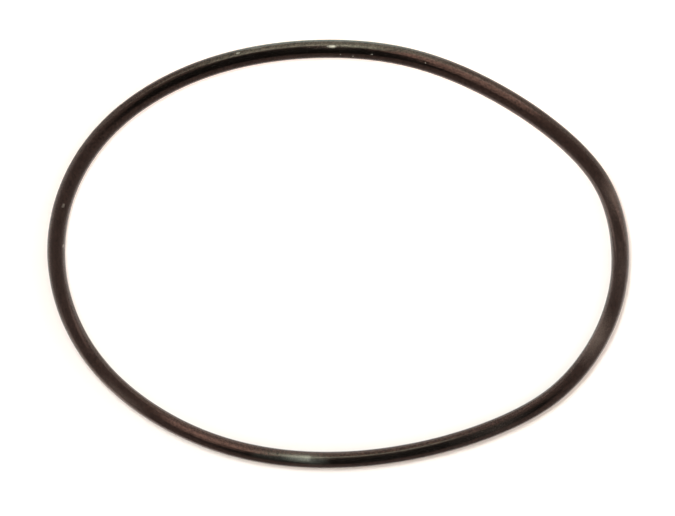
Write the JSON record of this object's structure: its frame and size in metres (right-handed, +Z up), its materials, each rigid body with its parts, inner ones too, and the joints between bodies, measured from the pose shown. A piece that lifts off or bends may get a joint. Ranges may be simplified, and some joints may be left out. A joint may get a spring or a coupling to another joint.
{
  "type": "rubber o-ring",
  "caption": "Round-section rubber sealing ring lying flat and slightly out of round, with a low moulded parting ridge inside and outside.",
  "frame": {"origin": "under the middle of the ring's outline, on the surface that the ring lies on", "axes": "+Z up, square to the ring's plane; +X to the right and +Y to the top of the reference picture"},
  "size_m": [0.0874, 0.087, 0.0026],
  "materials": {
    "rubber": "semi-gloss moulded black nitrile rubber"
  },
  "bodies": {
    "root": {"o_ring": "rubber"}
  },
  "joints": []
}
